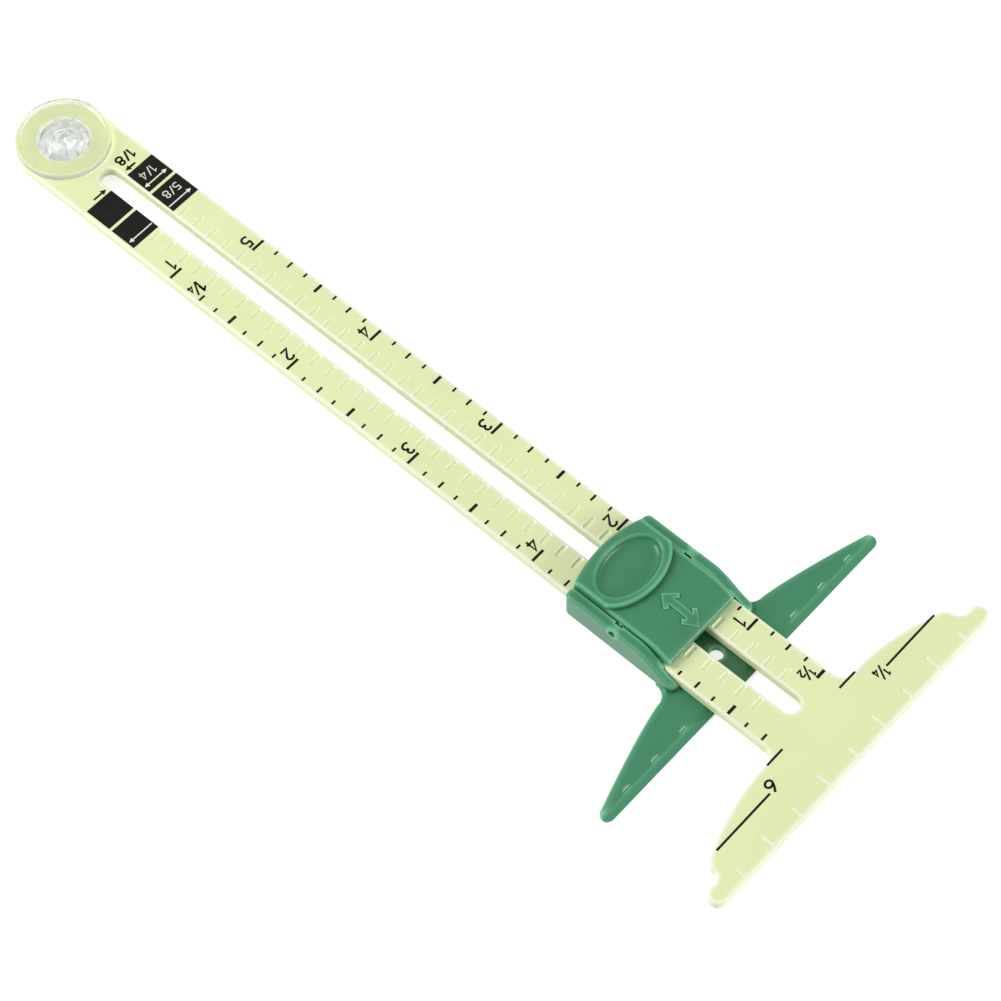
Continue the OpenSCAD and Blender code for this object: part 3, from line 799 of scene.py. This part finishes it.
class GAUGE_OT_ruler(Operator):
    """Add the ruler with its slot, detent grooves, T head and raised ticks"""
    bl_idname = "gauge.add_ruler"
    bl_label = "Ruler"

    def execute(self, context):
        s = context.scene.gauge.ruler
        low, top, head_x = TAIL_LOW.z, TAIL_LOW.z + s.thickness, HEAD_HIGH.x
        near, far, r = s.slot_near + s.slot_w / 2, head_x - s.slot_far - s.slot_w / 2, s.slot_w / 2
        slot = arc(near, 0, r, 90, 270, 16) + arc(far, 0, r, -90, 90, 16)
        ruler = add_plate("ruler_body", ruler_outline(s), low, top)
        for opening in (arc(0, 0, s.hole_r, 0, 360, 64), slot):
            combine(ruler, add_plate("opening", opening, low - PAST, top + PAST))
        round_edges(ruler, rim("z", True), s.edge_round)

        start = r + GROOVE_LAND
        lip_r = 0.7 * s.groove_r
        lip = add_bar("lip", s.groove_start - s.groove_r, top + s.groove_lip - lip_r, lip_r,
                      start + 0.1 * MM, start + s.groove_len - 0.1 * MM, LIP_EASE)
        groove = add_bar("groove", s.groove_start, top + s.groove_r - s.groove_d, s.groove_r,
                         start, start + s.groove_len, GROOVE_EASE)
        for row, way in ((lip, "UNION"), (groove, "DIFFERENCE")):
            apply(row, "ARRAY", count=s.groove_count, use_relative_offset=False,
                  use_constant_offset=True, constant_offset_displace=(s.groove_pitch, 0, 0))
            mirror(row)
            combine(ruler, row, way)

        ticks = []
        for i in range(-4, 5):
            reach = s.tick_long if i % 2 else s.tick_short
            x, y = head_x - s.tick_land, i * s.tick_pitch
            ticks.append(add_box("tick", (x - reach, y - s.tick_w / 2, top - TICK_SINK),
                                 (x, y + s.tick_w / 2, HEAD_HIGH.z)))
            round_edges(ticks[-1], rim("z"), TICK_EASE, 2)
        combine(ruler, join("ticks", ticks), "UNION")
        finish(ruler, "ruler", "lime_plastic", "Lime plastic",
               "ruler_tail", "left_rail", "right_rail", "ruler_head")
        return {"FINISHED"}


def wall_rings(s):
    """Sections of one side wall, from its rear corner to its rounded nose."""
    rear, top, end = FRAME_LOW.x, FRAME_HIGH.z, FRAME_HIGH.x - s.wall_front
    slope = end - s.wall_slope

    def height(x):
        share = min(max((x - slope) / s.wall_slope, 0), 1)
        return top + (s.wall_end - top) * (1 - cos(pi * share)) / 2

    stations = []
    for i in range(9):
        turn = pi / 2 * i / 8
        drop = s.corner_r * (1 - sin(turn))
        stations.append((rear + s.corner_r * (1 - cos(turn)), drop, drop))
    nose = end - s.nose_r
    stations += [(slope - 6 * MM, 0, 0), (slope, 0, 0)]
    stations += [(slope + (nose - slope) * i / 16, 0, 0) for i in range(1, 17)]
    for i in range(1, 8):
        turn = pi / 2 * i / 8
        drop = s.nose_r * (1 - cos(turn))
        stations.append((nose + s.nose_r * sin(turn), NOSE_SINK * drop, drop))
    stations.append((end, NOSE_SINK * s.nose_r, s.nose_r))
    rings = []
    for x, drop, inset in stations:
        z, y = height(x) - drop, s.wall_y - inset
        keel = min(s.keel_r, y - s.lip_y - 0.1 * MM)
        outer = arc(y - keel, keel, keel, -90, 0, 8)
        outer += arc(y - WALL_EASE, z - WALL_EASE, WALL_EASE, 0, 90, 5)
        outer += arc(s.lip_y + WALL_LIP_EASE, z - WALL_LIP_EASE, WALL_LIP_EASE, 90, 180, 4)
        outer.append((s.lip_y, 0))
        rings.append([(x, a, b) for a, b in outer])
    return rings


def add_wings(s):
    """Both wings as one plate, bevelled above and below along their measuring edge."""
    edge, tip_y = FRAME_HIGH.x, FRAME_HIGH.y
    wing_x = edge - s.wing_root
    tip = arc(edge - s.wing_tip_r, tip_y - s.wing_tip_r, s.wing_tip_r, 160, 0, 14)
    inner = (wing_x - s.wing_fillet - s.keel_r, s.wall_y - s.keel_r)
    side = [inner]
    side += arc(wing_x - s.wing_fillet, s.wall_y + s.wing_fillet, s.wing_fillet, -90, 0, 14)
    side += bow((wing_x, s.wall_y + s.wing_fillet), tip[0], 1.2, 1, 24) + tip
    wings = add_plate("wings", both_sides(side), 0, s.floor_t)
    on_top = rim("z")

    def behind(edge_line):
        """Whether an edge lies on the wings' curved rear side, out from the walls."""
        a, b = (vertex.co for vertex in edge_line.verts)
        return (on_top(edge_line) and min(abs(a.y), abs(b.y)) > inner[1] + 1e-4
                and max(a.x, b.x) < edge - 0.3 * MM)

    round_edges(wings, behind, s.wing_edge, 6)
    slant = (s.floor_t - s.bevel_t) / s.bevel_w
    above = [(edge - s.bevel_w - PAST, s.floor_t + PAST * slant),
             (edge + PAST, s.bevel_t - PAST * slant), (edge + PAST, s.floor_t + 3 * PAST),
             (edge - s.bevel_w - PAST, s.floor_t + 3 * PAST)]
    low, face_low = -0.1 * MM, s.bevel_t - 0.06 * MM
    below = [(edge - s.under_w - 0.2 * MM, -0.2 * MM * s.bevel_t / s.under_w - 0.1 * MM),
             (edge + PAST, low), (edge + PAST, face_low), (edge, face_low),
             (edge - s.under_w, 0)]
    for wedge in (above, below):
        combine(wings, add_plate("wedge", wedge, -tip_y - PAST, tip_y + PAST, True))
    return wings


class GAUGE_OT_slider(Operator):
    """Add the slider's frame with its walls, wings, notches and bores"""
    bl_idname = "gauge.add_slider"
    bl_label = "Slider frame"

    def execute(self, context):
        s = context.scene.gauge.slider
        edge, rear, top = FRAME_HIGH.x, FRAME_LOW.x, FRAME_HIGH.z
        wings = add_wings(s)
        body = add_loft("slider_body", wall_rings(s))
        x = edge - s.pivot_back
        combine(body, add_bar("pit", x, s.pivot_z, s.bore_r, s.wall_y - PIT_D, s.wall_y + PAST))
        combine(body, add_box("entry", (x - ENTRY_X, s.lip_y - PAST, s.pivot_z),
                              (x + ENTRY_X, s.lip_y + ENTRY_D, top + PAST)))
        mirror(body)
        half = s.lip_y + 0.2 * MM
        combine(body, add_box("floor", (rear, -half, 0),
                              (edge - s.wing_root - 1 * MM, half, s.floor_t)), "UNION")
        combine(body, wings, "UNION")
        channel = s.wall_y - s.wall_t
        combine(body, add_box("channel", (rear - PAST, -channel, s.floor_t),
                              (edge + PAST, channel, s.lip_z)))

        notches = []
        x, deep = edge - s.bevel_w - 0.15 * MM, s.mark_d
        cut = [(x - deep, s.floor_t + deep), (x + deep, s.floor_t - deep),
               (x + 2 * deep, s.floor_t + deep)]
        for i in (2, 3, 4):
            y = i * s.mark_pitch
            notches.append(add_plate("notch", cut, y - s.mark_w / 2, y + s.mark_w / 2, True))
        notches = join("notches", notches)
        mirror(notches)
        combine(body, notches)
        pencil = arc(edge - s.pen_inset, 0, s.pen_r, 0, 360, 40)
        combine(body, add_plate("pencil", pencil, -PAST, s.floor_t + PAST))
        finish(body, "slider", "green_plastic", "Green plastic", "slider_frame")
        return {"FINISHED"}


def arrow_outline(s, x):
    """A double arrow along the gauge, with open heads."""
    turn, half = BARB_ANGLE, s.arrow_len / 2
    out = (half - s.barb_len * cos(turn), s.barb_len * sin(turn))
    back = (out[0] - s.barb_w * sin(turn), out[1] - s.barb_w * cos(turn))
    shaft = s.shaft_w / 2
    share = (back[1] - shaft) / back[1]
    inner = half - s.barb_w / sin(turn)
    joint = (back[0] + (inner - back[0]) * share, shaft)
    side = [(half, 0), out, back, joint]
    side += [(-a, b) for a, b in reversed(side)]
    return both_sides([(x + a, b) for a, b in side])


class GAUGE_OT_lever(Operator):
    """Add the thumb lever with its dimpled pad, raised arrow, stubs and teeth"""
    bl_idname = "gauge.add_lever"
    bl_label = "Thumb lever"

    def execute(self, context):
        gauge = context.scene.gauge
        s, slider, ruler = gauge.lever, gauge.slider, gauge.ruler
        rear, front, pad_z = LEVER_LOW.x, LEVER_HIGH.x, LEVER_HIGH.z
        edge = FRAME_HIGH.x
        pivot_x, dimple_x = edge - slider.pivot_back, edge - s.dimple_back
        on_side = rim("y", True)

        def profile(rise):
            fall = bow((front - s.front_fall, s.plate_z + rise), (front, s.front_z + rise), 1, 2)
            back = rear - PAST
            return [(back, s.rear_z), (rear, s.rear_z), (pivot_x, s.under_z),
                    (front, s.under_z)] + list(reversed(fall)) + [(back, s.plate_z + rise)]

        def outer(line):
            """Whether an edge lies on the lever's sides or along its front."""
            a, b = (vertex.co for vertex in line.verts)
            along_front = all(abs(x - front) < SAME_POINT for x in (a.x, b.x))
            return on_side(line) or along_front and abs(a.y - b.y) > MM

        lever = add_plate("lever_body", profile(0), -s.side_y, s.side_y, True)
        round_edges(lever, outer, s.edge_round)
        side_y = s.side_y - 0.02 * MM
        turn = degrees(asin(side_y / s.pad_b))
        pad = [(rear - 2 * PAST, side_y)] + oval(dimple_x, 0, s.pad_a, s.pad_b, turn, 0, 28)
        pad = add_plate("pad", both_sides(pad), s.plate_z - 1.2 * MM, pad_z)
        round_edges(pad, rim("z"), s.edge_round)
        combine(lever, pad, "UNION")
        crown = add_plate("crown", arc(rear + s.rear_r, 0, s.rear_r, 0, 360, 240),
                          LEVER_LOW.z - PAST, pad_z + 0.02 * MM)
        round_edges(crown, rim("z"), s.crown_r, 8)
        combine(lever, crown, "INTERSECT")

        rings = []
        for share, depth in PAN:
            ring = oval(dimple_x, 0, share * s.dimple_a, share * s.dimple_b, 0, 356.25, 95)
            rings.append([(x, y, pad_z - depth * s.dimple_d) for x, y in ring])
        combine(lever, add_loft("dimple", rings))
        high = SPRING_HIGH.z - s.leaf_sink + 0.05 * MM
        pocket = (SPRING_HIGH.x - SPRING_LOW.x) / 2 + POCKET_GAP
        combine(lever, add_box("pocket", (dimple_x - pocket, SPRING_LOW.y - POCKET_GAP, 3 * MM),
                               (dimple_x + pocket, SPRING_HIGH.y + POCKET_GAP, high)))

        arrow = add_plate("arrow", arrow_outline(s, edge - s.arrow_back), s.under_z + MM, pad_z)
        shell = add_plate("shell", profile(s.arrow_h), -s.side_y, s.side_y, True)
        combine(arrow, shell, "INTERSECT")
        combine(lever, arrow, "UNION")
        parts = [lever]
        start = ruler.slot_w / 2 + GROOVE_LAND
        for hand in (-1, 1):
            stub = sorted((hand * (s.side_y - 0.3 * MM), hand * (slider.lip_y + 0.1 * MM)))
            parts.append(add_bar("stub", pivot_x, slider.pivot_z, s.stub_r, *stub))
            tooth = sorted((hand * start, hand * (start + ruler.groove_len)))
            parts.append(add_bar("tooth", edge - s.tooth_back, LEVER_LOW.z + s.tooth_r,
                                 s.tooth_r, *tooth, 0.12 * MM))
        finish(join("lever_body", parts), "lever", "green_plastic", "Green plastic",
               "thumb_lever")
        return {"FINISHED"}


class GAUGE_OT_spring(Operator):
    """Add the bowed leaf that lifts the rear of the lever"""
    bl_idname = "gauge.add_spring"
    bl_label = "Return spring"

    def execute(self, context):
        s = context.scene.gauge.lever
        middle = (SPRING_LOW.x + SPRING_HIGH.x) / 2
        half, top = (SPRING_HIGH.x - SPRING_LOW.x) / 2, SPRING_HIGH.z - s.leaf_sink
        rise = top - SPRING_LOW.z
        r = (half ** 2 + rise ** 2) / (2 * rise)
        turn = degrees(asin(half / r))
        line = [p for p in arc(middle, top - r, r - s.leaf_t / 2, 90 + turn, 90 - turn, 28)
                if p[1] > SPRING_LOW.z - 0.02 * MM]
        leaf = add_sheet("spring_leaf", [
            [(x, y, max(z, SPRING_LOW.z + s.leaf_t / 2)) for x, z in line]
            for y in (SPRING_LOW.y + 0.02 * MM, 0, SPRING_HIGH.y - 0.02 * MM)])
        bpy.ops.object.mode_set(mode="EDIT")
        close_up()
        apply(leaf, "SOLIDIFY", thickness=s.leaf_t, offset=0)
        apply(leaf, "BEVEL", width=0.05 * MM, segments=2, limit_method="ANGLE",
              angle_limit=radians(50))
        finish(leaf, "slider", "spring_steel", "Spring steel", "return_spring")
        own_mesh(leaf)
        return {"FINISHED"}


def button_side(s):
    """The button's section from the pin hole round to the top of its dome."""
    outer, dome, ease, dish_z = BUTTON_HIGH.x, BUTTON_HIGH.z, 0.15 * MM, s.rim_z - s.dish_d
    side = [(s.pin_r, 0.1 * MM), (s.pin_r + 0.1 * MM, 0), (s.core_r - ease, 0),
            (s.core_r, ease), (s.core_r, s.disc_z), (s.ring_r, s.disc_z), (s.ring_r, ease),
            (s.ring_r + ease, 0), (s.hub_r, 0), (s.lip_r, s.lip_z / 2), (s.lip_r, s.lip_z),
            (s.hub_r, s.lip_z), (s.hub_r, s.disc_z), (outer - ease, s.disc_z),
            (outer, s.disc_z + ease)]
    side += arc(outer - s.dish_d, s.rim_z - s.dish_d, s.dish_d, 0, 90, 8)
    side += arc(outer - s.rim_w, s.rim_z - ease, ease, 90, 150, 3)
    side += [(outer - s.rim_w - 0.2 * MM, dish_z + 0.1 * MM),
             (outer - s.rim_w - 0.35 * MM, dish_z)]
    for i in range(13):
        turn = pi * (1 - i / 12)
        side.append((s.pin_r + (s.dome_r - s.pin_r) * turn / pi,
                     dish_z + (dome - dish_z) * (1 + cos(turn)) / 2))
    return loop(side)


class GAUGE_OT_button(Operator):
    """Add the clear anchor button with its dished disc, hub and split ring"""
    bl_idname = "gauge.add_button"
    bl_label = "Anchor button"

    def execute(self, context):
        s = context.scene.gauge.button
        button = add_outline("button_disc", [(r, 0, z) for r, z in button_side(s)], "NOTHING")
        edit_all()
        bpy.ops.mesh.spin(steps=96, angle=2 * pi, center=(0, 0, 0), axis=(0, 0, 1))
        weld()
        close_up()
        splits = []
        for i in range(4):
            split = add_box("split", (s.core_r + 0.08 * MM, -s.split_w / 2, -PAST),
                            (s.lip_r + PAST, s.split_w / 2, s.disc_z - 0.01 * MM))
            split.rotation_euler.z = i * pi / 2
            only(split)
            bpy.ops.object.transform_apply(location=True, rotation=True, scale=True)
            splits.append(split)
        combine(button, join("splits", splits))
        finish(button, "button", "clear_plastic", "Clear plastic", "anchor_button")
        return {"FINISHED"}


# Each length of mark as the eighths that it stands at, its length and its width in millimetres
MARKS = ((8, 2.5, 0.46), (4, 1.75, 0.52), (2, 1.25, 0.38), (1, 0.85, 0.36))


def ink_level(gauge):
    """Height of the underside of the ink, a little inside the ruler's top."""
    return TAIL_LOW.z + gauge.ruler.thickness - gauge.print.ink_t / 4


def lay_print(context, name, bands, look="Printing ink"):
    """Make bands one print on the ruler."""
    ink = add_print(name, bands, context.scene.gauge.print.ink_t)
    finish(ink, "ruler", "black_ink", look)


class GAUGE_OT_scales(Operator):
    """Print the inch scales along both rails, with their numbers"""
    bl_idname = "gauge.add_scales"
    bl_label = "Scales"

    def execute(self, context):
        s, level = context.scene.gauge.print, ink_level(context.scene.gauge)
        head_x, tall, bold = HEAD_HIGH.x, s.digit_h, s.digit_w
        marks = []
        for upper in (True, False):
            for k in range(4, 41) if upper else (8, *range(10, 47)):
                x = head_x - k * INCH / 8 if upper else s.zero_x + k * INCH / 8
                size, width = next(mm(*sizes) for step, *sizes in MARKS if k % step == 0)
                outer = s.upper_y if upper else -s.lower_y
                inner = outer - size if upper else outer + size
                marks.append(add_stroke([(x, inner), (x, outer)], width, level))
        lay_print(context, "scale_marks", marks)

        numbers = []
        for start, way, last, y in ((head_x, -1, 5, 5.6), (s.zero_x, 1, 4, -5.3)):
            for k in range(1, last + 1):
                x = start + way * k * INCH - 0.62 * MM - tall
                y_start = y * MM + row_width(str(k), tall) / 2
                numbers += write(str(k), x, y_start, tall, bold, level)
        x, taller = s.zero_x + 1.25 * INCH - 0.7 * MM - 2.3 * MM, 2.3 * MM
        numbers += write("1", x, -4.6 * MM, taller, bold, level)
        numbers += write_fraction("1", "4", x, -6.1 * MM, taller, bold, level)
        x = head_x - INCH / 2 - 0.5 * MM - tall
        numbers += write_fraction("1", "2", x, 5.4 * MM, tall, bold, level)
        numbers += write_fraction("1", "4", *mm(157.1, 12.75), tall, bold, level)
        numbers += write("6", *mm(156.7, -11.35), tall, bold, level)
        lay_print(context, "scale_numbers", numbers)

        lines = []
        for x, start, end in ((158.05, 14.1, 25.4), (158.4, -13.1, -25), (155.2, 6.7, 10.3),
                              (155.25, -6.45, -9.95)):
            lines.append(add_stroke([mm(x, start), mm(x, end)], 0.36 * MM, level))
        lay_print(context, "head_lines", lines)
        return {"FINISHED"}


class GAUGE_OT_blocks(Operator):
    """Print the dark seam blocks beside the slot, with their white signs"""
    bl_idname = "gauge.add_blocks"
    bl_label = "Seam blocks"

    def execute(self, context):
        level = ink_level(context.scene.gauge)
        dark = []
        for x0, x1, y0, y1 in ((12.3, 17.3, 2.1, 7.6), (17.85, 22.8, 2.0, 7.65),
                               (12.5, 17.6, -7.2, -1.7), (18.15, 23.1, -7.2, -1.65)):
            middle = (y0 + y1) / 2 * MM
            dark.append(add_stroke([(x0 * MM, middle), (x1 * MM, middle)], (y1 - y0) * MM, level))
        dark += write("1/8", *mm(8.6, 6.1, 1.9, 0.38), level)
        dark += draw_arrow(*mm(11.5, 4.7, 2.5, 0.38, 1), level)
        dark += draw_arrow(*mm(11.77, -4.86, -2.1, 0.34, 1), level)
        lay_print(context, "seam_blocks", dark)

        level += context.scene.gauge.print.ink_t * 0.6
        light = write("1/4", *mm(13.56, 6.2, 1.64, 0.18), level)
        light += write("5/8", *mm(18.93, 6.4, 1.6, 0.18), level)
        light += draw_arrow(*mm(16.13, 7.2, 2.29, 0.22, 0.8), level, True)
        light += draw_arrow(*mm(21.7, 2.15, 7.1, 0.22, 0.8), level)
        light += draw_arrow(*mm(21.83, -1.9, -6.9, 0.22, 0.8), level)
        lay_print(context, "seam_signs", light, "White print")
        return {"FINISHED"}


def seen_rays(tree):
    """A value of 1 for the rays that show the white surroundings, such as the camera's."""
    rays = add_node(tree, "LightPath").outputs
    mirrored = add_math(tree, "MAXIMUM", rays["Is Glossy Ray"], rays["Is Transmission Ray"])
    return add_math(tree, "MAXIMUM", rays["Is Camera Ray"], mirrored)


# The camera's place, the way it looks and its right, fitted to the photograph's scale marks
CAMERA_PLACE = (0.26301, -0.18323, 0.43340)
CAMERA_LOOK = (-0.33518, 0.36458, -0.86875)
CAMERA_RIGHT = (0.74412, 0.66801, -0.00677)
LENS, SENSOR = 117.8, 36


class GAUGE_OT_stage(Operator):
    """Add the pale floor, the soft lights and the camera"""
    bl_idname = "gauge.add_stage"
    bl_label = "Stage"

    def execute(self, context):
        s = context.scene.gauge.finish
        middle = (CAD_LOW + CAD_HIGH) / 2
        bpy.ops.object.select_all(action="DESELECT")
        bpy.ops.mesh.primitive_circle_add(vertices=96, radius=3, fill_type="NGON",
                                          location=(middle.x, 0, -0.02 * MM))
        floor = context.object
        floor.name = floor.data.name = "table"
        material = bpy.data.materials.new("Table")
        material.use_nodes = True
        tree = material.node_tree
        tree.nodes.clear()
        matt = add_node(tree, "BsdfDiffuse", {"Color": (0.86, 0.86, 0.86, 1)})
        share = add_math(tree, "MULTIPLY", seen_rays(tree), 0.65)
        glow = add_node(tree, "Emission", {"Strength": share})
        both = add_node(tree, "AddShader", {0: matt.outputs[0], 1: glow.outputs[0]})
        add_node(tree, "OutputMaterial", {"Surface": both.outputs[0]})
        floor.data.materials.append(material)

        aim = Vector((0.1, 0, 0))
        for name, way, size, power in (("Key light", (-0.62, -0.42, 0.62), 0.5, s.key),
                                       ("Fill light", (0.88, 0.36, 0.32), 0.35, s.key * 0.7)):
            way = Vector(way).normalized()
            bpy.ops.object.light_add(type="AREA", location=aim + way * 0.9)
            lamp = context.object
            lamp.name = lamp.data.name = name
            lamp.rotation_euler = way.to_track_quat("Z", "Y").to_euler()
            lamp.data.size = size
            lamp.data.energy = power

        world = context.scene.world or bpy.data.worlds.new("Sky")
        context.scene.world = world
        world.use_nodes = True
        tree = world.node_tree
        tree.nodes.clear()
        sky, white = (add_node(tree, "Background", {"Color": (1, 1, 1, 1), "Strength": strength})
                      .outputs[0] for strength in (s.sky, 1))
        choice = add_node(tree, "MixShader", {0: seen_rays(tree), 1: sky, 2: white})
        add_node(tree, "OutputWorld", {"Surface": choice.outputs[0]})

        look, right = (Vector(way).normalized() for way in (CAMERA_LOOK, CAMERA_RIGHT))
        axes = Matrix((right, right.cross(look).normalized(), -look)).transposed().to_4x4()
        bpy.ops.object.camera_add()
        camera = context.object
        camera.matrix_world = Matrix.Translation(CAMERA_PLACE) @ axes
        camera.data.lens, camera.data.sensor_width = LENS, SENSOR
        camera.data.clip_start = 0.01
        context.scene.camera = camera
        context.scene.view_settings.view_transform = "Standard"
        return {"FINISHED"}


class GAUGE_PT_panel(Panel):
    bl_label = "Sewing gauge"
    bl_space_type = "VIEW_3D"
    bl_region_type = "UI"
    bl_category = "Gauge"

    def draw(self, context):
        gauge = context.scene.gauge
        for group, steps in ((gauge.ruler, (GAUGE_OT_ruler,)), (gauge.slider, (GAUGE_OT_slider,)),
                             (gauge.lever, (GAUGE_OT_lever, GAUGE_OT_spring)),
                             (gauge.button, (GAUGE_OT_button,)),
                             (gauge.print, (GAUGE_OT_scales, GAUGE_OT_blocks)),
                             (gauge.finish, (GAUGE_OT_stage,))):
            box = self.layout.box()
            for key in group.__annotations__:
                box.prop(group, key)
            for step in steps:
                box.operator(step.bl_idname)


GROUPS = (RulerSettings, SliderSettings, LeverSettings, ButtonSettings, PrintSettings,
          FinishSettings, GaugeSettings)
STEPS = (GAUGE_OT_ruler, GAUGE_OT_slider, GAUGE_OT_lever, GAUGE_OT_spring, GAUGE_OT_button,
         GAUGE_OT_scales, GAUGE_OT_blocks, GAUGE_OT_stage)


def register():
    for item in (*GROUPS, *STEPS, GAUGE_PT_panel):
        bpy.utils.register_class(item)
    bpy.types.Scene.gauge = PointerProperty(type=GaugeSettings)


def unregister():
    del bpy.types.Scene.gauge
    for item in reversed((*GROUPS, *STEPS, GAUGE_PT_panel)):
        bpy.utils.unregister_class(item)


def main():
    register()
    bpy.ops.gauge.add_ruler()
    bpy.ops.gauge.add_slider()
    bpy.ops.gauge.add_lever()
    bpy.ops.gauge.add_spring()
    bpy.ops.gauge.add_button()
    bpy.ops.gauge.add_scales()
    bpy.ops.gauge.add_blocks()
    bpy.ops.gauge.add_stage()


if __name__ == "__main__":
    main()
